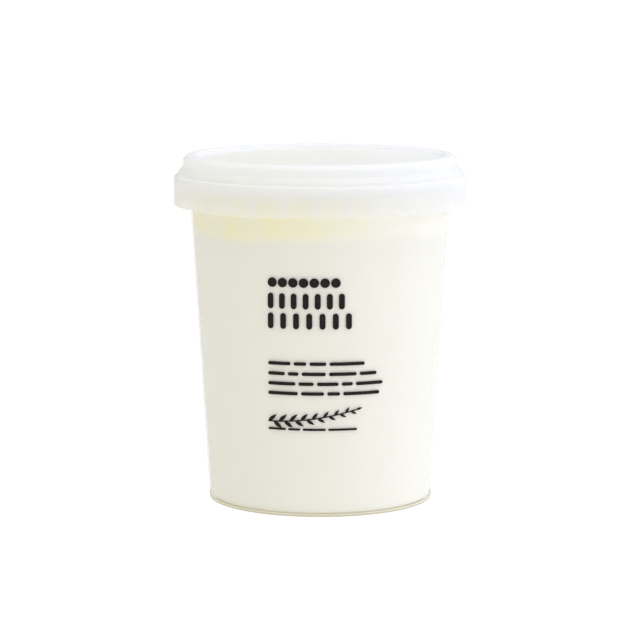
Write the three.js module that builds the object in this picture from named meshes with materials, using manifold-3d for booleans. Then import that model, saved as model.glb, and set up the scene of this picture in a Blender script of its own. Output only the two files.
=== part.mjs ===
// A round one-kilogram tub of set yogurt with its clip-over lid closed.
// The tub and the lid are thin moulded shells, turned about the vertical axis.
// The yogurt fills the tub from its floor, and a layer of cream has risen on top of it.
// Millimetres, +Z up, the table at z = 0 and the axis of the tub at x = y = 0.

import * as THREE from "three";
import { mergeVertices } from "three/addons/utils/BufferGeometryUtils.js";
import Module from "manifold-3d";

const wasm = await Module();
wasm.setup();

// Driving dimensions of the whole.
const TURN_SEGMENTS = 60;
const CORNER_STEPS = 2;
const CONTACT_GAP = 0.3;
const SOFT_EDGE = 0.4;
const ROUND_EDGE = 0.7;
const BROAD_EDGE = 1.2;

// Driving dimensions of the tub.
const TUB_RADIUS_AT_TABLE = 46.67;
const TUB_TAPER = 0.0615;
const TUB_WALL = 0.8;
const TUB_FLOOR = 1.0;
const FOOT_HEIGHT = 1.7;
const FOOT_WIDTH = 2.4;
const FOOT_GROOVE_HEIGHT = 1.5;
const FOOT_GROOVE_DEPTH = 0.3;
const RIM_RADIUS = 59.2;
const RIM_LIP_BOTTOM = 131.9;

// Driving dimensions of the lid.
const LID_TOP = 144.3;
const LID_WALL = 0.9;
const SKIRT_RADIUS = 61;
const SKIRT_BOTTOM = 123.6;
const SHOULDER_HEIGHT = 136.1;
const BEAD_RADIUS = 59;
const BEAD_TOP = 137.6;
const RING_NECK_HEIGHT = 139.6;
const RING_RADIUS = 57.1;
const RING_CHAMFER = 1.7;
const RING_INNER_RADIUS = 52;
const PANEL_TOP = 142.2;
const PANEL_RADIUS = 51.2;
const CATCH_HEIGHT = 131.1;
const CATCH_DEPTH = 1.1;

// Driving dimensions of the ribs inside the skirt.
const RIB_COUNT = 30;
const RIB_PHASE_DEG = -2.1;
const RIB_DEPTH = 1.2;
const RIB_WIDTH = 1.1;
const RIB_BOTTOM = 124.6;

// Driving dimensions of the contents.
const CREAM_BOTTOM = 113.2;
const CREAM_TOP = 131.6;

const TUB_PLASTIC = { color: 0xf4f2e9, roughness: 0.35, metalness: 0 };
const LID_PLASTIC = { color: 0xf3f4f1, roughness: 0.4, metalness: 0 };
const YOGURT = { color: 0xf5f1e2, roughness: 0.5, metalness: 0 };
const CREAM = { color: 0xf5e9bd, roughness: 0.5, metalness: 0 };

// The rim stops just below the shoulder of the lid, which rests on it.
const RIM_TOP = SHOULDER_HEIGHT - LID_WALL - CONTACT_GAP;

function tubOuterRadius(height) {
  return TUB_RADIUS_AT_TABLE + TUB_TAPER * height;
}

function tubInnerRadius(height) {
  return tubOuterRadius(height) - TUB_WALL;
}

// A corner of an outline in the (radius, height) plane, with the radius of its fillet.
function corner(radius, height, fillet = 0) {
  return { at: new THREE.Vector2(radius, height), fillet };
}

// The direction to the right of the way from one corner to the next.
function rightOf(from, to) {
  const along = to.at.clone().sub(from.at).normalize();
  return new THREE.Vector2(along.y, -along.x);
}

// The corners of the other face of a wall that is one even thickness, to the right of a run of corners.
function otherFace(corners, wall) {
  const last = corners.length - 1;
  return corners.map((here, index) => {
    const into = rightOf(corners[Math.max(index, 1) - 1], corners[Math.max(index, 1)]);
    const onward = rightOf(corners[Math.min(index, last - 1)], corners[Math.min(index, last - 1) + 1]);
    const shift = wall / (1 + into.dot(onward));
    const moved = here.at.clone().addScaledVector(into.add(onward), shift);
    return corner(moved.x, moved.y, here.fillet);
  });
}

// The points that take the place of one corner: the corner itself, or an arc tangent to both its sides.
function cornerPoints(before, here, after) {
  const toBefore = before.at.clone().sub(here.at).normalize();
  const toAfter = after.at.clone().sub(here.at).normalize();
  const halfAngle = Math.acos(THREE.MathUtils.clamp(toBefore.dot(toAfter), -1, 1)) / 2;
  if (here.fillet === 0 || Math.PI / 2 - halfAngle < 1e-3) return [here.at];
  const setback = here.fillet / Math.tan(halfAngle);
  const start = here.at.clone().addScaledVector(toBefore, setback);
  const end = here.at.clone().addScaledVector(toAfter, setback);
  const bisector = toBefore.add(toAfter).normalize();
  const centre = here.at.clone().addScaledVector(bisector, here.fillet / Math.sin(halfAngle));
  const from = start.sub(centre).angle();
  const turn = end.sub(centre).angle() - from;
  const sweep = THREE.MathUtils.euclideanModulo(turn + Math.PI, 2 * Math.PI) - Math.PI;
  return Array.from({ length: CORNER_STEPS + 1 }, (_, step) => {
    const angle = from + (sweep * step) / CORNER_STEPS;
    return new THREE.Vector2(Math.cos(angle), Math.sin(angle)).multiplyScalar(here.fillet).add(centre);
  });
}

// The outline through a run of corners that starts and ends on the axis.
function outlineFromAxis(corners) {
  return corners.flatMap((here, index) => {
    const isEnd = index === 0 || index === corners.length - 1;
    return isEnd ? [here.at] : cornerPoints(corners[index - 1], here, corners[index + 1]);
  });
}

// A solid of revolution about +Z. The outline runs outwards along the underside and back along the top.
function turned(corners) {
  const lathe = new THREE.LatheGeometry(outlineFromAxis(corners), TURN_SEGMENTS);
  return lathe.rotateX(Math.PI / 2);
}

// A closed geometry as a solid that can be joined to others.
// The slivers that a turned outline has on its axis are dropped.
function toSolid(geometry) {
  const bare = geometry.clone();
  bare.deleteAttribute("normal");
  bare.deleteAttribute("uv");
  const merged = mergeVertices(bare);
  const index = merged.index.array;
  const kept = [];
  for (let i = 0; i < index.length; i += 3) {
    const [a, b, c] = index.subarray(i, i + 3);
    if (a !== b && b !== c && c !== a) kept.push(a, b, c);
  }
  return new wasm.Manifold(
    new wasm.Mesh({
      numProp: 3,
      vertProperties: merged.attributes.position.array,
      triVerts: new Uint32Array(kept),
    }),
  );
}

function toGeometry(solid) {
  const { vertProperties, triVerts } = solid.getMesh();
  return new THREE.BufferGeometry()
    .setAttribute("position", new THREE.BufferAttribute(vertProperties, 3))
    .setIndex(new THREE.BufferAttribute(triVerts, 1));
}

// The tub: a raised floor on a foot ring, a tapered wall, and a rim turned out and down at the mouth.
function tubGeometry() {
  const footInner = TUB_RADIUS_AT_TABLE - FOOT_WIDTH;
  const floorTop = FOOT_HEIGHT + TUB_FLOOR;
  const grooveLow = FOOT_GROOVE_HEIGHT - FOOT_GROOVE_DEPTH;
  const grooveHigh = FOOT_GROOVE_HEIGHT + FOOT_GROOVE_DEPTH;
  const rimUnderside = RIM_TOP - TUB_WALL;
  return turned([
    corner(0, FOOT_HEIGHT),
    corner(footInner - FOOT_HEIGHT, FOOT_HEIGHT, ROUND_EDGE),
    corner(footInner, 0, SOFT_EDGE),
    corner(TUB_RADIUS_AT_TABLE, 0, ROUND_EDGE),
    corner(tubOuterRadius(grooveLow), grooveLow),
    corner(tubOuterRadius(FOOT_GROOVE_HEIGHT) - FOOT_GROOVE_DEPTH, FOOT_GROOVE_HEIGHT),
    corner(tubOuterRadius(grooveHigh), grooveHigh),
    corner(tubOuterRadius(rimUnderside), rimUnderside, SOFT_EDGE),
    corner(RIM_RADIUS - TUB_WALL, rimUnderside, SOFT_EDGE),
    corner(RIM_RADIUS - TUB_WALL, RIM_LIP_BOTTOM),
    corner(RIM_RADIUS, RIM_LIP_BOTTOM),
    corner(RIM_RADIUS, RIM_TOP, BROAD_EDGE),
    corner(tubInnerRadius(RIM_TOP), RIM_TOP, ROUND_EDGE),
    corner(tubInnerRadius(floorTop), floorTop, BROAD_EDGE),
    corner(0, floorTop),
  ]);
}

// The turned body of the lid: a sunk panel, a hollow stacking ring, a shoulder over the rim of the tub,
// and a skirt with a catch inside it.
function lidBodyGeometry() {
  const topFace = [
    corner(0, PANEL_TOP),
    corner(PANEL_RADIUS, PANEL_TOP, SOFT_EDGE),
    corner(RING_INNER_RADIUS, LID_TOP, SOFT_EDGE),
    corner(RING_RADIUS - RING_CHAMFER, LID_TOP, ROUND_EDGE),
    corner(RING_RADIUS, LID_TOP - RING_CHAMFER, ROUND_EDGE),
    corner(RING_RADIUS, RING_NECK_HEIGHT, SOFT_EDGE),
    corner(BEAD_RADIUS, BEAD_TOP, ROUND_EDGE),
    corner(BEAD_RADIUS, SHOULDER_HEIGHT),
    corner(SKIRT_RADIUS, SHOULDER_HEIGHT, ROUND_EDGE),
    corner(SKIRT_RADIUS, SKIRT_BOTTOM, SOFT_EDGE),
  ];
  const underside = otherFace(topFace, LID_WALL);
  const insideOfSkirt = SKIRT_RADIUS - LID_WALL;
  const innerEdge = corner(insideOfSkirt, SKIRT_BOTTOM);
  const skirtCatch = [
    corner(insideOfSkirt, CATCH_HEIGHT + CATCH_DEPTH / 2),
    corner(insideOfSkirt - CATCH_DEPTH, CATCH_HEIGHT, SOFT_EDGE),
    corner(insideOfSkirt, CATCH_HEIGHT - CATCH_DEPTH),
  ];
  return turned([...underside.slice(0, -1), ...skirtCatch, innerEdge, ...topFace.reverse()]);
}

// One upright rib on the inside of the skirt, rooted halfway into the wall and reaching up into the catch.
function ribGeometry(index) {
  const skirtInner = SKIRT_RADIUS - LID_WALL;
  const root = LID_WALL / 2;
  const height = CATCH_HEIGHT - RIB_BOTTOM;
  const azimuth = THREE.MathUtils.degToRad(RIB_PHASE_DEG + (360 / RIB_COUNT) * index);
  return new THREE.BoxGeometry(RIB_WIDTH, RIB_DEPTH + root, height)
    .translate(0, -skirtInner - root + (RIB_DEPTH + root) / 2, RIB_BOTTOM + height / 2)
    .rotateZ(azimuth);
}

function lidGeometry() {
  const ribs = Array.from({ length: RIB_COUNT }, (_, index) => toSolid(ribGeometry(index)));
  return toGeometry(ribs.reduce((body, rib) => body.add(rib), toSolid(lidBodyGeometry())));
}

// A plug of food that fills the tub between two heights, clear of the wall by the contact gap.
function foodGeometry(bottom, top, bottomFillet, topFillet) {
  return turned([
    corner(0, bottom),
    corner(tubInnerRadius(bottom) - CONTACT_GAP, bottom, bottomFillet),
    corner(tubInnerRadius(top) - CONTACT_GAP, top, topFillet),
    corner(0, top),
  ]);
}

function yogurtGeometry() {
  const floorTop = FOOT_HEIGHT + TUB_FLOOR;
  return foodGeometry(floorTop + CONTACT_GAP, CREAM_BOTTOM - CONTACT_GAP, BROAD_EDGE, 0);
}

function creamGeometry() {
  return foodGeometry(CREAM_BOTTOM, CREAM_TOP, 0, BROAD_EDGE);
}

function piece(name, geometry, finish) {
  const mesh = new THREE.Mesh(geometry, new THREE.MeshStandardMaterial(finish));
  mesh.name = name;
  return mesh;
}

const yogurtTub = new THREE.Group();
yogurtTub.add(piece("tub", tubGeometry(), TUB_PLASTIC));
yogurtTub.add(piece("lid", lidGeometry(), LID_PLASTIC));
yogurtTub.add(piece("yogurt", yogurtGeometry(), YOGURT));
yogurtTub.add(piece("cream_layer", creamGeometry(), CREAM));

export default yogurtTub;
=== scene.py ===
"""Looks of a shut one-kilogram tub of set yogurt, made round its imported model.

The tub, the lid and the contents are turned again with fine outlines and many flats. Geometry Nodes make
the ribs inside the skirt of the lid, the rows of marks and the leaves of the ornament, and lay the print on
the tapered wall.
"""

import math

import bpy
from bpy.props import FloatProperty, FloatVectorProperty, IntProperty, PointerProperty
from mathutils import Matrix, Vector


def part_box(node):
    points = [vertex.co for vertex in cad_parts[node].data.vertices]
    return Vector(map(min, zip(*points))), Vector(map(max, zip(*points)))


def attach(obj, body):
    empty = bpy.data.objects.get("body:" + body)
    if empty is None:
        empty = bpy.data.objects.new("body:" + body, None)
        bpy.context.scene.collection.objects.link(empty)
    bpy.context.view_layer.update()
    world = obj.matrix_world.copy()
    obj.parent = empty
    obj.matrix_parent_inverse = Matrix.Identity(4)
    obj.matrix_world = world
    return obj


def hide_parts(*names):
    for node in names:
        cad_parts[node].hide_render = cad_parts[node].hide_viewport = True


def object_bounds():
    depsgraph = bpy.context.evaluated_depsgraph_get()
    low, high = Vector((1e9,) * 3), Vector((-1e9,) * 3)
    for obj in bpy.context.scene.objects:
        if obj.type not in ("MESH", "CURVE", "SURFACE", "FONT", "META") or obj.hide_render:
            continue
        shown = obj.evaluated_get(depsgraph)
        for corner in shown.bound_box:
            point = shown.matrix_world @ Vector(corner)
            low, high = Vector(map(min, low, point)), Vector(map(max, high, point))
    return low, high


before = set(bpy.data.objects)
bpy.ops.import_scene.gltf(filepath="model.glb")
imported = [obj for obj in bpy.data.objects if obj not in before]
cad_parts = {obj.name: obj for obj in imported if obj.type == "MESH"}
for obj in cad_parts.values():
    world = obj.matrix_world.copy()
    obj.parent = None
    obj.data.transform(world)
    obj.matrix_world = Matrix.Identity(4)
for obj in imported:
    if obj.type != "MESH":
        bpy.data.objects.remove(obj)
CAD_LOW, CAD_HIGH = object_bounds()

bl_info = {
    "name": "Lidded yogurt tub",
    "version": (1, 0, 0),
    "blender": (4, 5, 0),
    "location": "View3D > Sidebar > Yogurt tub",
    "description": "Makes a translucent lidded tub of yogurt with its print and a plain studio",
    "category": "Object",
}

MM = 0.001

# How finely outlines are cut, and the angle from which an edge is drawn sharp
ARC_STEP = math.radians(15)
LONGEST_RUN = 3 * MM
SHARP_ANGLE = math.radians(35)

# Fillets of the outlines and of the ribs
CREASE = 0.1 * MM
FINE_EDGE = 0.2 * MM
BEAD_ROOT = 0.25 * MM
SOFT_EDGE = 0.4 * MM
SKIRT_EDGE = 0.44 * MM
PANEL_EDGE = 0.5 * MM
ROUND_EDGE = 0.7 * MM
RING_EDGE = 0.8 * MM
SURFACE_EDGE = 1.0 * MM
BROAD_EDGE = 1.2 * MM
SHOULDER_EDGE = 1.5 * MM

# Looks of the plastic: its haze seen straight on, its gloss, and its zones in the rim, the foot and the lid;
# the rim's whiteness is painted light, and the foot's tint and lines are painted shade
TUB_HAZE = 0.15
LID_HAZE = 0.3
RIB_HAZE = 0.97
LID_ROUGHNESS = 0.34
WAVE_HEIGHT = 0.05 * MM
MOTTLING = 0.995
SATIN_SPREAD = 0.04
GLOSS_STRAIGHT_ON = 0.03
GLOSS_AT_EDGES = 0.3
RIM_PAINTED_LIGHT = (0.995, 0.995, 0.99)
RIM_BLUR = 0.4 * MM
FOOT_PAINTED_SHADE = (0.93, 0.88, 0.70)
FOOT_BLUR = 0.35 * MM
FOOT_HAZE = 0.6
FOOT_LINE_PAINTED_SHADE = (0.60, 0.56, 0.39)
GROOVE_SHADE_HALF_WIDTH = 0.3 * MM
SOLE_SHADE_HALF_WIDTH = 0.45 * MM
SOLE_HEIGHT = 0.4 * MM
LID_LIFT = 0.45
LID_LIFT_BELOW = 9.0 * MM
LID_LIFT_ABOVE = 5.5 * MM

# Looks of the contents: how the yogurt grades into the cream, and the painted light that pales the cream
# towards +x, the side the strong light comes from
CURD_SHADE = 0.985
RIPPLE = 1.5 * MM
CREAM_STARTS = -2.4 * MM
CREAM_ENDS = 3.0 * MM
PAINTED_LIGHT_FADE_START = -30 * MM
PAINTED_LIGHT_FADE_END = 36 * MM
CREAM_SHARE_IN_PAINTED_LIGHT = 0.1
SKIN_LOW = 0.6 * MM
SKIN_HIGH = 0.1 * MM
SKIN_SHARE = 0.3

# The print, with heights over the table in millimetres. A heading row has the name of its piece, its bottom,
# the height and width of a mark, and its whole length. A row of bars has its bottom, its top, the gap between
# bars and the length of each bar.
HEADING_ROWS = (
    ("print_dots", 94.9, 3.9, 3.9, 30.0),
    ("print_pills_upper", 86.1, 6.4, 2.4, 31.7),
    ("print_pills_lower", 77.9, 6.5, 2.4, 34.6),
)
BAR_ROWS = (
    (63.0, 64.4, 1.3, (9.6, 5.2, 6.8, 14.6)),
    (58.8, 60.2, 1.3, (7.2, 4.4, 9.8, 11.4, 7.4)),
    (54.7, 56.1, 1.3, (11.6, 6.2, 8.8, 4.6, 11.8)),
    (50.7, 52.1, 1.3, (12.6, 9.4, 5.2, 15.6)),
    (36.1, 37.0, 1.0, (7.6, 5.0, 9.4, 11.9)),
)
INK_ROOT = -0.15 * MM
THIN_INK = 1.9
PILL_STEPS = 12
LEAF_STEPS = 12
LEAF_FULLNESS = 0.17
LEAF_BELLY = 0.8
BAR_END_STEPS = 8
BAR_STEP = 1.0 * MM
SPRIG_BASE = 39.6 * MM
SPRIG_BEND = -4.0 * MM
SPRIG_TIP = (14.6 * MM, 44.6 * MM, 0.0)
STEM_WIDTH = 0.5 * MM
STEM_STEPS = 40
TIP_LEAF_SIZE = 0.62

# The studio
FLOOR_RADIUS = 10.0
NEAR_LIGHT_PLACE = (0.42, 0.1, 0.42)
NEAR_LIGHT_SIZE = 0.5
NEAR_LIGHT_TINT = (0.97, 1.0, 1.0)
COOL_AIR = (0.92, 1.0, 1.42)
PALE_AIR = (0.98, 1.0, 1.0)
PLAIN_AIR = (1.0, 1.0, 1.0)

TUB_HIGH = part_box("tub")[1]
LID_LOW, LID_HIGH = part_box("lid")
YOGURT_LOW, YOGURT_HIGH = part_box("yogurt")
CREAM_LOW, CREAM_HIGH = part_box("cream_layer")
CONTACT_GAP = CREAM_LOW.z - YOGURT_HIGH.z


class TubSizes(bpy.types.PropertyGroup):
    """Sizes of the tub and its colour."""

    flats: IntProperty(name="Flats", description="Flats round each turned piece", default=240, min=24)
    foot_radius: FloatProperty(
        name="Foot radius", description="Outer radius of the wall at the table", default=46.67 * MM,
        unit="LENGTH",
    )
    taper: FloatProperty(
        name="Taper", description="Growth of the radius over each unit of height", default=0.0615, precision=4
    )
    wall: FloatProperty(name="Wall", description="Thickness of the wall", default=0.8 * MM, unit="LENGTH")
    floor: FloatProperty(name="Floor", description="Thickness of the floor", default=1.0 * MM, unit="LENGTH")
    foot_width: FloatProperty(
        name="Foot width", description="Width of the foot ring at the table", default=2.4 * MM, unit="LENGTH"
    )
    groove_height: FloatProperty(
        name="Groove height", description="Height of the fine groove round the foot", default=1.5 * MM,
        unit="LENGTH",
    )
    groove_depth: FloatProperty(
        name="Groove depth", description="Depth of the groove round the foot", default=0.3 * MM, unit="LENGTH"
    )
    lip_drop: FloatProperty(
        name="Lip drop", description="How far the lip of the rim hangs down", default=3.0 * MM, unit="LENGTH"
    )
    colour: FloatVectorProperty(
        name="Plastic", description="Colour of the tub's plastic", subtype="COLOR", size=3,
        default=(0.965, 0.96, 0.93),
    )


class LidSizes(bpy.types.PropertyGroup):
    """Sizes of the lid and its colour."""

    wall: FloatProperty(name="Wall", description="Thickness of the lid", default=0.9 * MM, unit="LENGTH")
    shoulder_height: FloatProperty(
        name="Shoulder height", description="Height of the shoulder that lies over the rim",
        default=136.1 * MM, unit="LENGTH",
    )
    bead_radius: FloatProperty(
        name="Bead radius", description="Radius of the bead on the shoulder", default=59 * MM, unit="LENGTH"
    )
    bead_top: FloatProperty(
        name="Bead top", description="Height of the top of the bead", default=137.6 * MM, unit="LENGTH"
    )
    neck_height: FloatProperty(
        name="Neck height", description="Height where the stacking ring starts", default=139.6 * MM,
        unit="LENGTH",
    )
    ring_radius: FloatProperty(
        name="Ring radius", description="Outer radius of the stacking ring", default=57.1 * MM, unit="LENGTH"
    )
    ring_chamfer: FloatProperty(
        name="Ring chamfer", description="Chamfer on the top of the stacking ring", default=1.7 * MM,
        unit="LENGTH",
    )
    ring_inner_radius: FloatProperty(
        name="Ring inner radius", description="Inner radius of the top of the ring", default=52 * MM,
        unit="LENGTH",
    )
    panel_radius: FloatProperty(
        name="Panel radius", description="Radius of the sunk panel", default=51.2 * MM, unit="LENGTH"
    )
    panel_depth: FloatProperty(
        name="Panel depth", description="How far the panel is sunk below the ring", default=2.1 * MM,
        unit="LENGTH",
    )
    catch_height: FloatProperty(
        name="Catch height", description="Height of the catch under the rim", default=131.1 * MM,
        unit="LENGTH",
    )
    catch_depth: FloatProperty(
        name="Catch depth", description="How far the catch stands out", default=1.1 * MM, unit="LENGTH"
    )
    rib_count: IntProperty(name="Ribs", description="Ribs round the inside of the skirt", default=30, min=3)
    rib_phase: FloatProperty(
        name="Rib phase", description="Turn of the first rib from the front", default=math.radians(-2.1),
        unit="ROTATION",
    )
    rib_depth: FloatProperty(
        name="Rib depth", description="How far a rib stands out of the skirt", default=1.2 * MM, unit="LENGTH"
    )
    rib_width: FloatProperty(name="Rib width", description="Width of a rib", default=1.1 * MM, unit="LENGTH")
    rib_bottom: FloatProperty(
        name="Rib bottom", description="Height of the lower end of the ribs", default=124.6 * MM,
        unit="LENGTH",
    )
    colour: FloatVectorProperty(
        name="Plastic", description="Colour of the lid's plastic", subtype="COLOR", size=3,
        default=(0.990, 0.987, 0.985),
    )


class ContentsSizes(bpy.types.PropertyGroup):
    """How the yogurt and the cream fill the tub."""

    into_wall: FloatProperty(
        name="Into the wall", description="How far the contents reach into the wall", default=0.1 * MM,
        unit="LENGTH",
    )
    into_floor: FloatProperty(
        name="Into the floor", description="How far the yogurt reaches into the floor", default=0.9 * MM,
        unit="LENGTH",
    )
    yogurt_colour: FloatVectorProperty(
        name="Yogurt", description="Colour of the yogurt", subtype="COLOR", size=3,
        default=(0.922, 0.892, 0.76),
    )
    thin_cream_colour: FloatVectorProperty(
        name="Thin cream", description="Colour of the cream where it is thin", subtype="COLOR", size=3,
        default=(0.99, 0.96, 0.84),
    )
    cream_colour: FloatVectorProperty(
        name="Cream", description="Colour of the cream where it is deepest", subtype="COLOR", size=3,
        default=(1.0, 0.93, 0.55),
    )


class PrintSizes(bpy.types.PropertyGroup):
    """Place and colour of the print on the wall."""

    left_margin: FloatProperty(
        name="Left margin", description="Way along the wall from the front to the margin",
        default=-21.8 * MM, unit="LENGTH",
    )
    heading_marks: IntProperty(
        name="Heading marks", description="Marks in each heading row", default=7, min=2
    )
    sprig_leaves: IntProperty(name="Leaves", description="Leaves along the sprig", default=17, min=3)
    leaf_length: FloatProperty(
        name="Leaf length", description="Length of the largest leaf", default=4.6 * MM, unit="LENGTH"
    )
    leaf_spread: FloatProperty(
        name="Leaf spread", description="Angle between a leaf and the stem", default=math.radians(38),
        unit="ROTATION",
    )
    ink_thickness: FloatProperty(
        name="Ink thickness", description="How far the ink stands out of the wall", default=0.04 * MM,
        unit="LENGTH",
    )
    ink_colour: FloatVectorProperty(
        name="Ink", description="Colour of the ink", subtype="COLOR", size=3, default=(0.012, 0.008, 0.007)
    )


class StudioSizes(bpy.types.PropertyGroup):
    """Place of the camera, and strength of the lights."""

    camera_distance: FloatProperty(
        name="Camera distance", description="Way from the axis to the camera", default=1182.4 * MM,
        unit="LENGTH",
    )
    camera_height: FloatProperty(
        name="Camera height", description="Height of the camera over the table", default=244.4 * MM,
        unit="LENGTH",
    )
    camera_pitch: FloatProperty(
        name="Camera pitch", description="How far the camera looks down", default=math.radians(8.179),
        unit="ROTATION",
    )
    focal_length: FloatProperty(
        name="Focal length", description="Focal length of the camera in millimetres", default=160.1
    )
    camera_shift: FloatProperty(
        name="Camera shift", description="Sideways shift of the picture, as a share of it",
        default=-0.0006, precision=4,
    )
    near_watts: FloatProperty(
        name="Near light", description="Power of the near light on the right", default=0.05
    )
    air_right: FloatProperty(name="Air right", description="Soft light from the right", default=0.87)
    air_behind: FloatProperty(name="Air behind", description="Soft light from behind", default=0.03)
    air_front: FloatProperty(name="Air front", description="Soft light from the front", default=0.05)
    air_above: FloatProperty(name="Air above", description="Soft light from above", default=1.49)


# Outlines in the (radius, height) plane


def corner(radius, height, fillet=0.0):
    """A corner of an outline, with the radius of its fillet."""
    return Vector((radius, height)), fillet


def right_of(start, end):
    """The direction to the right of the way from one point to another."""
    along = (end - start).normalized()
    return Vector((along.y, -along.x))


def other_face(corners, wall):
    """The corners of the other face of a wall of even thickness, to the right of a run of corners."""
    points = [place for place, _ in corners]
    moved = []
    for index, (place, fillet) in enumerate(corners):
        first = min(max(index, 1), len(points) - 1)
        second = min(index, len(points) - 2)
        into = right_of(points[first - 1], points[first])
        onward = right_of(points[second], points[second + 1])
        shifted = place + (into + onward) * (wall / (1 + into.dot(onward)))
        moved.append((shifted, fillet))
    return moved


def fillet_arc(before, here, after, fillet):
    """The points of an arc tangent to both sides of a corner."""
    to_before = (before - here).normalized()
    to_after = (after - here).normalized()
    half_angle = to_before.angle(to_after) / 2
    if fillet == 0 or math.pi / 2 - half_angle < 1e-3:
        return [here]
    start = here + to_before * (fillet / math.tan(half_angle))
    end = here + to_after * (fillet / math.tan(half_angle))
    centre = here + (to_before + to_after).normalized() * (fillet / math.sin(half_angle))
    first = math.atan2(*reversed(start - centre))
    turn = math.atan2(*reversed(end - centre)) - first
    sweep = (turn + math.pi) % (2 * math.pi) - math.pi
    steps = max(2, math.ceil(abs(sweep) / ARC_STEP))
    angles = [first + sweep * step / steps for step in range(steps + 1)]
    return [centre + Vector((math.cos(angle), math.sin(angle))) * fillet for angle in angles]


def rounded(corners):
    """An outline with its corners filleted and its long runs cut into short ones."""
    points = [corners[0][0]]
    for (before, _), (here, fillet), (after, _) in zip(corners, corners[1:], corners[2:]):
        points += fillet_arc(before, here, after, fillet)
    points.append(corners[-1][0])
    outline = [points[0]]
    for start, end in zip(points, points[1:]):
        runs = max(1, math.ceil((end - start).length / LONGEST_RUN))
        outline += [start.lerp(end, run / runs) for run in range(1, runs + 1)]
    return outline


# Meshes


def add_object(name, mesh):
    """Puts a mesh, a light or a camera in the scene, at the origin."""
    made = bpy.data.objects.new(name, mesh)
    bpy.context.scene.collection.objects.link(made)
    return made


def turned(name, corners, flats):
    """A solid of revolution about +Z. Its outline runs out along the underside and back along the top."""
    outline = rounded(corners)
    rings = outline[1:-1]
    vertices = [(0, 0, outline[0].y), (0, 0, outline[-1].y)]
    for radius, height in rings:
        for flat in range(flats):
            angle = 2 * math.pi * flat / flats
            vertices.append((radius * math.cos(angle), radius * math.sin(angle), height))

    def at(ring, flat):
        return 2 + ring * flats + flat % flats

    top = len(rings) - 1
    faces = []
    for flat in range(flats):
        faces.append((0, at(0, flat + 1), at(0, flat)))
        for ring in range(top):
            faces.append((at(ring, flat), at(ring, flat + 1), at(ring + 1, flat + 1), at(ring + 1, flat)))
        faces.append((1, at(top, flat), at(top, flat + 1)))
    mesh = bpy.data.meshes.new(name)
    mesh.from_pydata(vertices, [], faces)
    mesh.shade_smooth()
    mesh.set_sharp_from_angle(angle=SHARP_ANGLE)
    return add_object(name, mesh)


def box_mesh(name, width, depth, height, bottom):
    """A box that stands on a height, centred on the axis."""
    around = ((-1, -1), (1, -1), (1, 1), (-1, 1))
    corners = [
        (x * width / 2, y * depth / 2, bottom + z * height) for z in (0, 1) for x, y in around
    ]
    sides = [(side, (side + 1) % 4, (side + 1) % 4 + 4, side + 4) for side in range(4)]
    mesh = bpy.data.meshes.new(name)
    mesh.from_pydata(corners, [], [(3, 2, 1, 0), (4, 5, 6, 7), *sides])
    return mesh


def finish_piece(piece, material, node=None):
    """Gives a piece its finish, and sets it on the body in place of its node, if it has one."""
    if material is not None:
        piece.data.materials.clear()
        piece.data.materials.append(material)
    if node is not None:
        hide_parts(node)
    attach(piece, "root")


# Node trees


def put(tree, kind, inputs=None, **settings):
    """Adds a node to a tree, sets it up, and joins or fills its inputs."""
    node = tree.nodes.new(kind)
    for key, value in settings.items():
        setattr(node, key, value)
    for key, value in (inputs or {}).items():
        if isinstance(value, bpy.types.NodeSocket):
            tree.links.new(value, node.inputs[key])
        else:
            node.inputs[key].default_value = value
    return node


def reckon(tree, operation, first, second=0.0, third=0.0, clamp=False):
    """One step of arithmetic between numbers or sockets."""
    values = {0: first, 1: second, 2: third}
    return put(tree, "ShaderNodeMath", values, operation=operation, use_clamp=clamp).outputs[0]


def blended(tree, share, first, second):
    """A colour between two colours."""
    mix = put(tree, "ShaderNodeMix", {"Factor": share}, data_type="RGBA")
    for key, value in ((6, first), (7, second)):
        if isinstance(value, bpy.types.NodeSocket):
            tree.links.new(value, mix.inputs[key])
        else:
            mix.inputs[key].default_value = (*value, 1.0)
    return mix.outputs[2]


def between(tree, value, low, high, to_low=0.0, to_high=1.0):
    """A value carried smoothly from one range to another."""
    return put(
        tree,
        "ShaderNodeMapRange",
        {"Value": value, "From Min": low, "From Max": high, "To Min": to_low, "To Max": to_high},
        interpolation_type="SMOOTHSTEP",
    ).outputs[0]


def cloud(tree, place, scale, detail=2.0, seed=0.0):
    """Soft noise from 0 to 1, the same on every run."""
    noise = put(
        tree, "ShaderNodeTexNoise", {"Vector": place, "W": seed, "Scale": scale, "Detail": detail},
        noise_dimensions="4D",
    )
    return noise.outputs["Fac"]


def new_material(name):
    """An empty material, its tree and the object coordinates that its patterns read."""
    material = bpy.data.materials.new(name)
    material.use_nodes = True
    tree = material.node_tree
    tree.nodes.clear()
    place = put(tree, "ShaderNodeTexCoord").outputs["Object"]
    return material, tree, place


def show(tree, shader):
    """Ends a material with its shader."""
    put(tree, "ShaderNodeOutputMaterial", {"Surface": shader})


# Finishes


def scaled(colour, factor):
    """A colour with each channel times a number."""
    return [factor * channel for channel in colour]


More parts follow.
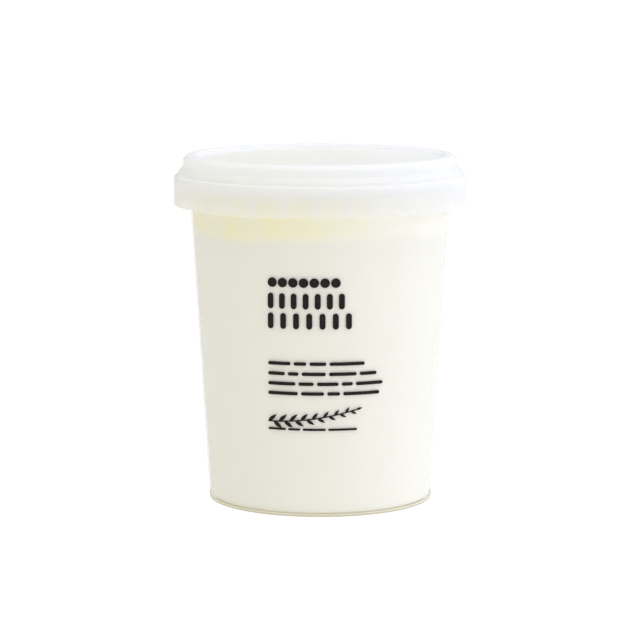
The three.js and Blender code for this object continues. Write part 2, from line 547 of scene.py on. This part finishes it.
def milky_plastic(name, colour, haze, passing, roughness, wave_height, longest_way=20.0, zones=None):
    """Moulded translucent plastic: a haze that scatters light both ways, under a soft gloss outside.

    The haze is that of a wall seen straight on. It grows with the way through a wall that is seen edge on,
    up to longest_way times its thickness. passing is the share of the scattered light that goes on through
    the wall. zones may change the colour and the haze with the height.
    """
    material, tree, place = new_material(name)
    mottling = cloud(tree, place, 90.0)
    shade = blended(tree, between(tree, mottling, 0.3, 0.7), scaled(colour, MOTTLING), colour)
    if zones is not None:
        height = put(tree, "ShaderNodeSeparateXYZ", {0: place}).outputs["Z"]
        shade, haze = zones(tree, height, shade, haze)
    sheen = cloud(tree, place, 260.0, seed=3.0)
    satin = between(tree, sheen, 0.3, 0.7, roughness - SATIN_SPREAD, roughness + SATIN_SPREAD)
    waves = cloud(tree, place, 60.0, seed=7.0)
    bump = put(tree, "ShaderNodeBump", {"Height": waves, "Strength": 0.4, "Distance": wave_height}).outputs[0]
    front = put(tree, "ShaderNodeBsdfDiffuse", {"Color": shade, "Normal": bump}).outputs[0]
    through = put(tree, "ShaderNodeBsdfTranslucent", {"Color": shade, "Normal": bump}).outputs[0]
    scattered = put(tree, "ShaderNodeMixShader", {0: passing, 1: front, 2: through}).outputs[0]
    clear = put(tree, "ShaderNodeBsdfTransparent").outputs[0]
    facing = put(tree, "ShaderNodeLayerWeight", {"Blend": 0.5, "Normal": bump}).outputs["Facing"]
    straightness = reckon(tree, "SUBTRACT", 1.0, facing)
    way = reckon(tree, "DIVIDE", 1.0, reckon(tree, "MAXIMUM", straightness, 1 / longest_way))
    clearness = reckon(tree, "POWER", reckon(tree, "SUBTRACT", 1.0, haze), way, clamp=True)
    body = put(tree, "ShaderNodeMixShader", {0: clearness, 1: scattered, 2: clear}).outputs[0]
    edge = reckon(tree, "POWER", facing, 5.0)
    mirrored = reckon(tree, "MULTIPLY_ADD", edge, GLOSS_AT_EDGES, GLOSS_STRAIGHT_ON, clamp=True)
    inside = put(tree, "ShaderNodeNewGeometry").outputs["Backfacing"]
    outside = reckon(tree, "SUBTRACT", 1.0, inside)
    share = reckon(tree, "MULTIPLY", mirrored, outside)
    gloss = put(tree, "ShaderNodeBsdfGlossy", {"Roughness": satin, "Normal": bump}).outputs[0]
    show(tree, put(tree, "ShaderNodeMixShader", {0: share, 1: body, 2: gloss}).outputs[0])
    return material


def line_at(tree, height, middle, half_width):
    """1 at one height, falling to 0 on both sides of it."""
    away = reckon(tree, "ABSOLUTE", reckon(tree, "SUBTRACT", height, middle))
    return between(tree, away, 0.3 * half_width, half_width, 1.0, 0.0)


def tub_zones(rim_bottom, groove_height):
    """The tub's plastic is painted whiter in its rim, painted light that lifts the shade under the lid's
    skirt. In its foot it is hazy, with a darker warm tint of painted shade near the table and two dark lines
    of painted shade at the groove and at the sole.
    """

    def zones(tree, height, shade, haze):
        rim = between(tree, height, rim_bottom - RIM_BLUR, rim_bottom)
        foot = between(tree, height, groove_height, groove_height + FOOT_BLUR, 1.0, 0.0)
        haze = reckon(tree, "MULTIPLY_ADD", foot, FOOT_HAZE, haze)
        # Painted shade: dark lines in the groove and at the sole, where the foot meets the table
        groove = line_at(tree, height, groove_height, GROOVE_SHADE_HALF_WIDTH)
        sole = line_at(tree, height, SOLE_HEIGHT, SOLE_SHADE_HALF_WIDTH)
        # Painted light: the rim is whitened to lift the shade that the lid's skirt casts on it
        shade = blended(tree, rim, shade, RIM_PAINTED_LIGHT)
        # Painted shade: the foot is tinted darker and warmer near the table
        shade = blended(tree, foot, shade, FOOT_PAINTED_SHADE)
        shade = blended(tree, reckon(tree, "ADD", groove, sole, clamp=True), shade, FOOT_LINE_PAINTED_SHADE)
        return shade, haze

    return zones


def lid_zones(shoulder_height):
    """The lid's plastic looks hazier where it stands clear of the tub and the cream, above its shoulder."""

    def zones(tree, height, shade, haze):
        low, high = shoulder_height - LID_LIFT_BELOW, shoulder_height + LID_LIFT_ABOVE
        clear_of_tub = between(tree, height, low, high, 0.0, LID_LIFT)
        return shade, reckon(tree, "ADD", haze, clear_of_tub)

    return zones


def yogurt_and_cream(name, yogurt, thin_cream, cream, boundary, surface):
    """Set yogurt that grades softly and unevenly into the cream above it, which has a paler skin on top. The
    cream also fades towards +x: painted light, the lit side washed out to white.
    """
    material, tree, place = new_material(name)
    height = put(tree, "ShaderNodeSeparateXYZ", {0: place}).outputs["Z"]
    ripple = between(tree, cloud(tree, place, 28.0, seed=1.0), 0.2, 0.8, -RIPPLE, RIPPLE)
    risen = reckon(tree, "SUBTRACT", reckon(tree, "ADD", height, ripple), boundary)
    into_cream = between(tree, risen, CREAM_STARTS, CREAM_ENDS)
    blotches = between(tree, cloud(tree, place, 48.0, detail=1.0, seed=16.0), 0.35, 0.6, 0.5, 1.1)
    across = put(tree, "ShaderNodeSeparateXYZ", {0: place}).outputs["X"]
    # Painted light: the cream share falls off towards +x, so the lit right side looks washed out to white
    painted_light_fade = between(tree, across, PAINTED_LIGHT_FADE_START, PAINTED_LIGHT_FADE_END, 1.0, CREAM_SHARE_IN_PAINTED_LIGHT)
    share = reckon(tree, "MULTIPLY", reckon(tree, "MULTIPLY", into_cream, blotches), painted_light_fade)
    skin = between(tree, height, surface - SKIN_LOW, surface - SKIN_HIGH, 1.0, SKIN_SHARE)
    share = reckon(tree, "MULTIPLY", share, skin)
    curds = between(tree, cloud(tree, place, 120.0, detail=3.0, seed=9.0), 0.25, 0.75)
    white = blended(tree, curds, scaled(yogurt, CURD_SHADE), yogurt)
    colour = blended(tree, share, blended(tree, into_cream, white, thin_cream), cream)
    grain = cloud(tree, place, 400.0, detail=3.0, seed=11.0)
    bump = put(tree, "ShaderNodeBump", {"Height": grain, "Strength": 0.2, "Distance": 0.02 * MM})
    body = put(
        tree,
        "ShaderNodeBsdfPrincipled",
        {"Base Color": colour, "Roughness": 0.42, "IOR": 1.35, "Normal": bump.outputs[0]},
    )
    show(tree, body.outputs[0])
    return material


def printing_ink(colour):
    """Near-black ink, thinner in fine specks."""
    material, tree, place = new_material("printing ink")
    density = between(tree, cloud(tree, place, 700.0, detail=3.0), 0.2, 0.6)
    shade = blended(tree, density, scaled(colour, THIN_INK), colour)
    sheen = between(tree, cloud(tree, place, 300.0, seed=2.0), 0.3, 0.7, 0.42, 0.54)
    body = put(
        tree,
        "ShaderNodeBsdfPrincipled",
        {"Base Color": shade, "Roughness": sheen, "Specular IOR Level": 0.15},
    )
    show(tree, body.outputs[0])
    return material


def studio_paper():
    """White paper that shines by itself, so that the tub throws hardly any shadow on it."""
    material, tree, place = new_material("studio paper")
    grain = cloud(tree, place, 40.0, detail=4.0)
    shade = blended(tree, grain, (0.11, 0.11, 0.11), (0.13, 0.13, 0.13))
    body = put(
        tree,
        "ShaderNodeBsdfPrincipled",
        {
            "Base Color": shade,
            "Roughness": 0.9,
            "Specular IOR Level": 0.1,
            "Emission Color": (1, 1, 1, 1),
            "Emission Strength": 0.92,
        },
    )
    show(tree, body.outputs[0])
    return material


# Geometry Nodes


def new_geometry_tree(name, sockets):
    """A tree that takes a mesh, the named inputs and a material, and gives a mesh."""
    tree = bpy.data.node_groups.new(name, "GeometryNodeTree")
    tree.interface.new_socket("Geometry", in_out="INPUT", socket_type="NodeSocketGeometry")
    for label, kind in sockets.items():
        tree.interface.new_socket(label, in_out="INPUT", socket_type=kind)
    tree.interface.new_socket("Material", in_out="INPUT", socket_type="NodeSocketMaterial")
    tree.interface.new_socket("Geometry", in_out="OUTPUT", socket_type="NodeSocketGeometry")
    return tree, tree.nodes.new("NodeGroupInput").outputs


def close_tree(tree, geometry, material):
    """Ends a tree: its copies become real mesh and take the material."""
    real = put(tree, "GeometryNodeRealizeInstances", {"Geometry": geometry}).outputs[0]
    painted = put(tree, "GeometryNodeSetMaterial", {"Geometry": real, "Material": material}).outputs[0]
    put(tree, "NodeGroupOutput", {0: painted})


def grow(piece, tree, values):
    """Runs a geometry tree on a piece and keeps the result as its plain mesh."""
    modifier = piece.modifiers.new(tree.name, "NODES")
    modifier.node_group = tree
    for item in tree.interface.items_tree:
        if item.in_out == "INPUT" and item.name in values:
            modifier[item.identifier] = values[item.name]
    freeze(piece)


def freeze(piece):
    """Turns a piece with live modifiers into a plain mesh."""
    evaluated = piece.evaluated_get(bpy.context.evaluated_depsgraph_get())
    mesh = bpy.data.meshes.new_from_object(evaluated)
    piece.modifiers.clear()
    piece.data = mesh
    if not mesh.polygons:
        raise RuntimeError(f"{piece.name} came out empty")


def rib_tree():
    """Copies one rib round the axis, a full turn shared out evenly from the first rib on."""
    tree, given = new_geometry_tree(
        "Ribs round the skirt",
        {"Count": "NodeSocketInt", "Radius": "NodeSocketFloat", "Phase": "NodeSocketFloat"},
    )
    points = put(tree, "GeometryNodePoints", {"Count": given["Count"]}).outputs[0]
    index = put(tree, "GeometryNodeInputIndex").outputs[0]
    share = reckon(tree, "DIVIDE", index, given["Count"])
    angle = reckon(tree, "MULTIPLY_ADD", share, 2 * math.pi, given["Phase"])
    across = reckon(tree, "MULTIPLY", reckon(tree, "SINE", angle), given["Radius"])
    along = reckon(tree, "MULTIPLY", reckon(tree, "COSINE", angle), given["Radius"])
    place = put(tree, "ShaderNodeCombineXYZ", {"X": across, "Y": reckon(tree, "MULTIPLY", along, -1.0)})
    placed = put(tree, "GeometryNodeSetPosition", {"Geometry": points, "Position": place.outputs[0]})
    turn = put(tree, "ShaderNodeCombineXYZ", {"Z": angle}).outputs[0]
    copies = put(
        tree,
        "GeometryNodeInstanceOnPoints",
        {"Points": placed.outputs[0], "Instance": given["Geometry"], "Rotation": turn},
    )
    close_tree(tree, copies.outputs[0], given["Material"])
    return tree


def wrap_tree():
    """Lays a flat design on the tapered wall: x is the way round, y the height and z the way out."""
    tree, given = new_geometry_tree(
        "Wrap on the wall", {"Foot Radius": "NodeSocketFloat", "Taper": "NodeSocketFloat"}
    )
    point = put(tree, "GeometryNodeInputPosition").outputs[0]
    flat = put(tree, "ShaderNodeSeparateXYZ", {0: point}).outputs
    radius = reckon(tree, "MULTIPLY_ADD", flat["Y"], given["Taper"], given["Foot Radius"])
    angle = reckon(tree, "DIVIDE", flat["X"], radius)
    out = reckon(tree, "ADD", radius, flat["Z"])
    across = reckon(tree, "MULTIPLY", reckon(tree, "SINE", angle), out)
    along = reckon(tree, "MULTIPLY", reckon(tree, "COSINE", angle), reckon(tree, "MULTIPLY", out, -1.0))
    place = put(tree, "ShaderNodeCombineXYZ", {"X": across, "Y": along, "Z": flat["Y"]}).outputs[0]
    wrapped = put(tree, "GeometryNodeSetPosition", {"Geometry": given["Geometry"], "Position": place})
    close_tree(tree, wrapped.outputs[0], given["Material"])
    return tree


def row_of_marks_tree():
    """Repeats one mark along a row."""
    tree, given = new_geometry_tree(
        "Row of marks",
        {
            "Count": "NodeSocketInt",
            "Start": "NodeSocketFloat",
            "Pitch": "NodeSocketFloat",
            "Height": "NodeSocketFloat",
        },
    )
    points = put(tree, "GeometryNodePoints", {"Count": given["Count"]}).outputs[0]
    index = put(tree, "GeometryNodeInputIndex").outputs[0]
    along = reckon(tree, "MULTIPLY_ADD", index, given["Pitch"], given["Start"])
    place = put(tree, "ShaderNodeCombineXYZ", {"X": along, "Y": given["Height"]}).outputs[0]
    placed = put(tree, "GeometryNodeSetPosition", {"Geometry": points, "Position": place}).outputs[0]
    copies = put(tree, "GeometryNodeInstanceOnPoints", {"Points": placed, "Instance": given["Geometry"]})
    close_tree(tree, copies.outputs[0], given["Material"])
    return tree


def sprig_tree():
    """Sets leaves on both sides of a curved stem, smaller towards its tip."""
    tree, given = new_geometry_tree(
        "Sprig of leaves",
        {
            "Start": "NodeSocketVector",
            "Middle": "NodeSocketVector",
            "End": "NodeSocketVector",
            "Leaves": "NodeSocketInt",
            "Spread": "NodeSocketFloat",
            "Stem Width": "NodeSocketFloat",
            "Root": "NodeSocketFloat",
            "Thickness": "NodeSocketFloat",
        },
    )
    stem = put(
        tree,
        "GeometryNodeCurveQuadraticBezier",
        {"Resolution": STEM_STEPS, "Start": given["Start"], "Middle": given["Middle"], "End": given["End"]},
    ).outputs[0]
    places = put(tree, "GeometryNodeCurveToPoints", {"Curve": stem, "Count": given["Leaves"]})
    index = put(tree, "GeometryNodeInputIndex").outputs[0]
    share = reckon(tree, "DIVIDE", index, reckon(tree, "SUBTRACT", given["Leaves"], 1.0))
    side = reckon(tree, "MULTIPLY_ADD", reckon(tree, "MODULO", index, 2.0), -2.0, 1.0)
    last = reckon(tree, "GREATER_THAN", share, 0.999)
    swing = reckon(tree, "MULTIPLY", side, reckon(tree, "SUBTRACT", 1.0, last))
    way = put(tree, "ShaderNodeSeparateXYZ", {0: places.outputs["Tangent"]}).outputs
    heading = reckon(tree, "ARCTAN2", way["Y"], way["X"])
    angle = reckon(tree, "ADD", heading, reckon(tree, "MULTIPLY", swing, given["Spread"]))
    turn = put(tree, "ShaderNodeCombineXYZ", {"Z": angle}).outputs[0]
    length = between(tree, share, 0.0, 1.0, 1.0, TIP_LEAF_SIZE)
    size = put(tree, "ShaderNodeCombineXYZ", {"X": length, "Y": length, "Z": 1.0}).outputs[0]
    leaves = put(
        tree,
        "GeometryNodeInstanceOnPoints",
        {"Points": places.outputs[0], "Instance": given["Geometry"], "Rotation": turn, "Scale": size},
    ).outputs[0]
    profile = put(
        tree,
        "GeometryNodeCurvePrimitiveQuadrilateral",
        {"Width": given["Stem Width"], "Height": given["Thickness"]},
    ).outputs[0]
    upright = put(tree, "GeometryNodeSetCurveNormal", {"Curve": stem}, mode="Z_UP").outputs[0]
    strip = put(
        tree, "GeometryNodeCurveToMesh", {"Curve": upright, "Profile Curve": profile, "Fill Caps": True}
    ).outputs[0]
    middle = reckon(tree, "MULTIPLY_ADD", given["Thickness"], 0.5, given["Root"])
    lift = put(tree, "ShaderNodeCombineXYZ", {"Z": middle}).outputs[0]
    strip = put(tree, "GeometryNodeSetPosition", {"Geometry": strip, "Offset": lift}).outputs[0]
    joined = put(tree, "GeometryNodeJoinGeometry")
    tree.links.new(strip, joined.inputs[0])
    tree.links.new(leaves, joined.inputs[0])
    close_tree(tree, joined.outputs[0], given["Material"])
    return tree


# Print, drawn flat


def slab(outline, low, high):
    """A flat closed outline, given counterclockwise, as a thin slab: its vertices and faces."""
    count = len(outline)
    vertices = [(x, y, low) for x, y in outline] + [(x, y, high) for x, y in outline]
    faces = [tuple(reversed(range(count))), tuple(range(count, 2 * count))]
    for index in range(count):
        after = (index + 1) % count
        faces.append((index, after, count + after, count + index))
    return vertices, faces


def pill(width, height, low, high):
    """An upright pill, or a dot where the width and the height are the same, centred on the origin."""
    radius = width / 2
    straight = height / 2 - radius
    outline = []
    for middle, first in ((straight, 0), (-straight, math.pi)):
        for step in range(PILL_STEPS + 1):
            angle = first + math.pi * step / PILL_STEPS
            outline.append((radius * math.cos(angle), middle + radius * math.sin(angle)))
    if straight < 1e-9:
        repeated = (PILL_STEPS, 2 * PILL_STEPS + 1)
        outline = [point for index, point in enumerate(outline) if index not in repeated]
    return slab(outline, low, high)


def leaf_outline(length, low, high):
    """A pointed leaf that starts at the origin and points along x."""
    edge = []
    for step in range(LEAF_STEPS + 1):
        bulge = math.sin(math.pi * (step / LEAF_STEPS) ** LEAF_BELLY)
        edge.append((length * step / LEAF_STEPS, LEAF_FULLNESS * length * bulge))
    return slab([(x, -y) for x, y in edge[:-1]] + [(x, y) for x, y in reversed(edge[1:])], low, high)


def bar(left, right, bottom, top, low, high):
    """A bar with round ends, cut across into short lengths so that it can bend round the wall."""
    radius = (top - bottom) / 2
    middle = (top + bottom) / 2
    columns = []
    for step in range(BAR_END_STEPS + 1):
        angle = math.pi / 2 * step / BAR_END_STEPS
        columns.append((left + radius * (1 - math.cos(angle)), radius * math.sin(angle)))
    straight = right - left - 2 * radius
    lengths = max(1, math.ceil(straight / BAR_STEP))
    for length in range(1, lengths):
        columns.append((left + radius + straight * length / lengths, radius))
    for step in range(BAR_END_STEPS + 1):
        angle = math.pi / 2 * (1 - step / BAR_END_STEPS)
        columns.append((right - radius * (1 - math.cos(angle)), radius * math.sin(angle)))
    vertices = []
    for place, reach in columns:
        for side in (-1, 1):
            for depth in (low, high):
                vertices.append((place, middle + side * reach, depth))
    faces = []
    for index in range(len(columns) - 1):
        here, there = 4 * index, 4 * (index + 1)
        faces.append((here + 1, there + 1, there + 3, here + 3))
        faces.append((here, here + 2, there + 2, there))
        faces.append((here, there, there + 1, here + 1))
        faces.append((here + 2, here + 3, there + 3, there + 2))
    return vertices, faces


def flat_mesh(name, shapes):
    """One mesh from several sets of vertices and faces."""
    vertices, faces = [], []
    for shape_vertices, shape_faces in shapes:
        start = len(vertices)
        vertices += shape_vertices
        faces += [tuple(start + index for index in face) for face in shape_faces]
    mesh = bpy.data.meshes.new(name)
    mesh.from_pydata(vertices, [], faces)
    return add_object(name, mesh)


def lay_on_wall(piece, tub, ink):
    """Wraps a flat design on the wall of the tub and finishes it."""
    grow(piece, wrap_tree(), {"Foot Radius": tub.foot_radius, "Taper": tub.taper, "Material": ink})
    finish_piece(piece, None)


# Operators


class MakeTub(bpy.types.Operator):
    """Makes the tub: a raised floor on a foot ring, a tapered wall, and a rim turned out and down"""

    bl_idname = "yogurt_tub.make_tub"
    bl_label = "Make the tub"

    def execute(self, context):
        tub = context.scene.yogurt_tub
        rim_top, rim_radius = TUB_HIGH.z, TUB_HIGH.x
        floor_top = YOGURT_LOW.z - CONTACT_GAP
        floor_underside = floor_top - tub.floor
        foot_inner = tub.foot_radius - tub.foot_width
        groove_low = tub.groove_height - tub.groove_depth
        groove_high = tub.groove_height + tub.groove_depth
        rim_underside = rim_top - tub.wall
        lip_bottom = rim_top - tub.lip_drop

        def outer(height):
            return tub.foot_radius + tub.taper * height

        piece = turned(
            "tub_shell",
            [
                corner(0, floor_underside),
                corner(foot_inner - floor_underside, floor_underside, ROUND_EDGE),
                corner(foot_inner, 0, SOFT_EDGE),
                corner(tub.foot_radius, 0, SOFT_EDGE),
                corner(outer(groove_low), groove_low, CREASE),
                corner(outer(tub.groove_height) - tub.groove_depth, tub.groove_height, CREASE),
                corner(outer(groove_high), groove_high, CREASE),
                corner(outer(rim_underside), rim_underside, SOFT_EDGE),
                corner(rim_radius - tub.wall, rim_underside, SOFT_EDGE),
                corner(rim_radius - tub.wall, lip_bottom, FINE_EDGE),
                corner(rim_radius, lip_bottom, FINE_EDGE),
                corner(rim_radius, rim_top, BROAD_EDGE),
                corner(outer(rim_top) - tub.wall, rim_top, ROUND_EDGE),
                corner(outer(floor_top) - tub.wall, floor_top, BROAD_EDGE),
                corner(0, floor_top),
            ],
            tub.flats,
        )
        plastic = milky_plastic(
            "tub plastic", tub.colour, haze=TUB_HAZE, passing=0.2, roughness=0.55, wave_height=WAVE_HEIGHT,
            longest_way=1.3, zones=tub_zones(lip_bottom, tub.groove_height),
        )
        finish_piece(piece, plastic, "tub")
        return {"FINISHED"}


class MakeLid(bpy.types.Operator):
    """Makes the lid: a sunk panel, a stacking ring, a shoulder, and a skirt with a catch and ribs inside"""

    bl_idname = "yogurt_tub.make_lid"
    bl_label = "Make the lid"

    def execute(self, context):
        lid = context.scene.yogurt_lid
        flats = context.scene.yogurt_tub.flats
        top, skirt_radius, skirt_bottom = LID_HIGH.z, LID_HIGH.x, LID_LOW.z
        skirt_inside = skirt_radius - lid.wall
        top_face = [
            corner(0, top - lid.panel_depth),
            corner(lid.panel_radius, top - lid.panel_depth, PANEL_EDGE),
            corner(lid.ring_inner_radius, top, PANEL_EDGE),
            corner(lid.ring_radius - lid.ring_chamfer, top, RING_EDGE),
            corner(lid.ring_radius, top - lid.ring_chamfer, RING_EDGE),
            corner(lid.ring_radius, lid.neck_height, SOFT_EDGE),
            corner(lid.bead_radius, lid.bead_top, RING_EDGE),
            corner(lid.bead_radius, lid.shoulder_height, BEAD_ROOT),
            corner(skirt_radius, lid.shoulder_height, SHOULDER_EDGE),
            corner(skirt_radius, skirt_bottom, SKIRT_EDGE),
        ]
        catch = [
            corner(skirt_inside, lid.catch_height + lid.catch_depth / 2, FINE_EDGE),
            corner(skirt_inside - lid.catch_depth, lid.catch_height, SOFT_EDGE),
            corner(skirt_inside, lid.catch_height - lid.catch_depth, FINE_EDGE),
        ]
        underside = other_face(top_face, lid.wall)[:-1]
        inner_edge = corner(skirt_inside, skirt_bottom, SKIRT_EDGE)
        piece = turned("lid_shell", [*underside, *catch, inner_edge, *reversed(top_face)], flats)
        plastic = milky_plastic(
            "lid plastic", lid.colour, haze=LID_HAZE, passing=0.68, roughness=LID_ROUGHNESS,
            wave_height=WAVE_HEIGHT, zones=lid_zones(lid.shoulder_height),
        )
        finish_piece(piece, plastic, "lid")
        self.make_ribs(lid, skirt_inside)
        return {"FINISHED"}

    def make_ribs(self, lid, skirt_inside):
        """The ribs inside the skirt, each rooted halfway into its wall and reaching up into the catch."""
        height = lid.catch_height - lid.rib_bottom
        depth = lid.rib_depth + lid.wall / 2
        rib = add_object("skirt_ribs", box_mesh("skirt_ribs", lid.rib_width, depth, height, lid.rib_bottom))
        edges = rib.modifiers.new("Round edges", "BEVEL")
        edges.width = FINE_EDGE
        edges.segments = 2
        freeze(rib)
        plastic = milky_plastic(
            "rib plastic", lid.colour, haze=RIB_HAZE, passing=0.05, roughness=LID_ROUGHNESS, wave_height=0.0
        )
        values = {
            "Count": lid.rib_count,
            "Radius": skirt_inside + lid.wall / 2 - depth / 2,
            "Phase": lid.rib_phase,
            "Material": plastic,
        }
        grow(rib, rib_tree(), values)
        finish_piece(rib, None)


class MakeContents(bpy.types.Operator):
    """Makes the yogurt and the cream that has risen on it, both out into the wall of the tub"""

    bl_idname = "yogurt_tub.make_contents"
    bl_label = "Make the contents"

    def execute(self, context):
        tub = context.scene.yogurt_tub
        contents = context.scene.yogurt_contents
        boundary, surface = CREAM_LOW.z, CREAM_HIGH.z
        bottom = YOGURT_LOW.z - CONTACT_GAP - contents.into_floor

        def reach(height):
            return tub.foot_radius + tub.taper * height - tub.wall + contents.into_wall

        colours = (contents.yogurt_colour, contents.thin_cream_colour, contents.cream_colour)
        yogurt = turned(
            "yogurt_body",
            [
                corner(0, bottom),
                corner(reach(bottom), bottom, CREASE),
                corner(reach(boundary), boundary),
                corner(0, boundary),
            ],
            tub.flats,
        )
        set_yogurt = yogurt_and_cream("set yogurt", *colours, boundary, surface)
        finish_piece(yogurt, set_yogurt, "yogurt")
        cream = turned(
            "cream_top",
            [
                corner(0, boundary),
                corner(reach(boundary), boundary),
                corner(reach(surface), surface, SURFACE_EDGE),
                corner(0, surface),
            ],
            tub.flats,
        )
        risen_cream = yogurt_and_cream("risen cream", *colours, boundary, surface)
        finish_piece(cream, risen_cream, "cream_layer")
        return {"FINISHED"}


class MakePrint(bpy.types.Operator):
    """Makes the print on the front: rows of dots and pills, rows of plain bars, and a sprig of leaves"""

    bl_idname = "yogurt_tub.make_print"
    bl_label = "Make the print"

    def execute(self, context):
        tub = context.scene.yogurt_tub
        style = context.scene.yogurt_print
        ink = printing_ink(style.ink_colour)
        low, high = INK_ROOT, style.ink_thickness

        marks = row_of_marks_tree()
        for name, bottom, height, width, length in HEADING_ROWS:
            mark = flat_mesh(name, [pill(width * MM, height * MM, low, high)])
            values = {
                "Count": style.heading_marks,
                "Start": style.left_margin + width / 2 * MM,
                "Pitch": (length - width) * MM / (style.heading_marks - 1),
                "Height": (bottom + height / 2) * MM,
                "Material": ink,
            }
            grow(mark, marks, values)
            lay_on_wall(mark, tub, ink)

        bars = []
        for bottom, top, gap, lengths in BAR_ROWS:
            left = style.left_margin
            for length in lengths:
                bars.append(bar(left, left + length * MM, bottom * MM, top * MM, low, high))
                left += (length + gap) * MM
        lay_on_wall(flat_mesh("print_rows", bars), tub, ink)

        leaf = flat_mesh("print_sprig", [leaf_outline(style.leaf_length, low, high)])
        values = {
            "Start": (style.left_margin, SPRIG_BASE, 0.0),
            "Middle": (SPRIG_BEND, SPRIG_BASE, 0.0),
            "End": SPRIG_TIP,
            "Leaves": style.sprig_leaves,
            "Spread": style.leaf_spread,
            "Stem Width": STEM_WIDTH,
            "Root": low,
            "Thickness": high - low,
            "Material": ink,
        }
        grow(leaf, sprig_tree(), values)
        lay_on_wall(leaf, tub, ink)
        return {"FINISHED"}


class MakeStudio(bpy.types.Operator):
    """Makes the white paper floor, the soft lights and the camera"""

    bl_idname = "yogurt_tub.make_studio"
    bl_label = "Make the studio"

    def execute(self, context):
        studio = context.scene.yogurt_studio
        self.make_floor(context.scene.yogurt_tub.flats)
        self.make_near_light(studio.near_watts)
        self.make_air(context.scene, studio)
        context.scene.view_settings.view_transform = "Standard"
        self.make_camera(context.scene, studio)
        return {"FINISHED"}

    def make_floor(self, flats):
        """A round sheet of white paper, wide enough to fill the picture from every side."""
        angles = [2 * math.pi * flat / flats for flat in range(flats)]
        rim = [(FLOOR_RADIUS * math.cos(angle), FLOOR_RADIUS * math.sin(angle), 0) for angle in angles]
        wedges = [(0, 1 + flat, 1 + (flat + 1) % flats) for flat in range(flats)]
        mesh = bpy.data.meshes.new("paper_floor")
        mesh.from_pydata([(0, 0, 0), *rim], [], wedges)
        floor = add_object("paper_floor", mesh)
        mesh.materials.append(studio_paper())

    def make_air(self, scene, studio):
        """Soft light from the whole sky: most of it from above and from the right, a little from the rest."""
        world = bpy.data.worlds.new("studio air")
        world.use_nodes = True
        tree = world.node_tree
        way = put(tree, "ShaderNodeTexCoord").outputs["Generated"]
        light = (0.0, 0.0, 0.0)
        for side, strength, tint in (
            ((1, 0, 0), studio.air_right, COOL_AIR),
            ((0, 1, 0), studio.air_behind, PLAIN_AIR),
            ((0, -1, 0), studio.air_front, PLAIN_AIR),
            ((0, 0, 1), studio.air_above, PALE_AIR),
        ):
            towards = put(tree, "ShaderNodeVectorMath", {0: way, 1: side}, operation="DOT_PRODUCT")
            lobe = reckon(tree, "MAXIMUM", towards.outputs["Value"], 0.0)
            shine = [strength * channel for channel in tint]
            added = put(tree, "ShaderNodeVectorMath", {0: lobe, 1: shine, 2: light}, operation="MULTIPLY_ADD")
            light = added.outputs[0]
        tree.links.new(light, tree.nodes["Background"].inputs["Color"])
        scene.world = world

    def make_near_light(self, watts):
        """A square soft box on the right that faces the middle of the tub."""
        lamp = bpy.data.lights.new("near light", "AREA")
        lamp.size = NEAR_LIGHT_SIZE
        lamp.energy = watts
        lamp.color = NEAR_LIGHT_TINT
        made = add_object("near light", lamp)
        made.location = NEAR_LIGHT_PLACE
        aim = Vector((0, 0, CAD_HIGH.z / 2)) - Vector(NEAR_LIGHT_PLACE)
        made.rotation_euler = aim.to_track_quat("-Z", "Y").to_euler()
        made.visible_camera = False

    def make_camera(self, scene, studio):
        """A camera in front of the tub that looks a little down on it."""
        lens = bpy.data.cameras.new("camera")
        lens.lens = studio.focal_length
        lens.shift_x = studio.camera_shift
        camera = add_object("camera", lens)
        camera.location = (0, -studio.camera_distance, studio.camera_height)
        camera.rotation_euler = (math.pi / 2 - studio.camera_pitch, 0, 0)
        scene.camera = camera


OPERATORS = (MakeTub, MakeLid, MakeContents, MakePrint, MakeStudio)


class YogurtTubPanel(bpy.types.Panel):
    """Lists the steps that make the tub"""

    bl_idname = "VIEW3D_PT_yogurt_tub"
    bl_label = "Yogurt tub"
    bl_space_type = "VIEW_3D"
    bl_region_type = "UI"
    bl_category = "Yogurt tub"

    def draw(self, context):
        for operator in OPERATORS:
            self.layout.operator(operator.bl_idname)


GROUPS = {
    "yogurt_tub": TubSizes,
    "yogurt_lid": LidSizes,
    "yogurt_contents": ContentsSizes,
    "yogurt_print": PrintSizes,
    "yogurt_studio": StudioSizes,
}


def register():
    for made in (*GROUPS.values(), *OPERATORS, YogurtTubPanel):
        bpy.utils.register_class(made)
    for name, group in GROUPS.items():
        setattr(bpy.types.Scene, name, PointerProperty(type=group))


def unregister():
    for name in GROUPS:
        delattr(bpy.types.Scene, name)
    for made in (YogurtTubPanel, *reversed(OPERATORS), *reversed(GROUPS.values())):
        bpy.utils.unregister_class(made)


def main():
    register()
    bpy.ops.yogurt_tub.make_tub()
    bpy.ops.yogurt_tub.make_lid()
    bpy.ops.yogurt_tub.make_contents()
    bpy.ops.yogurt_tub.make_print()
    bpy.ops.yogurt_tub.make_studio()


if __name__ == "__main__":
    main()
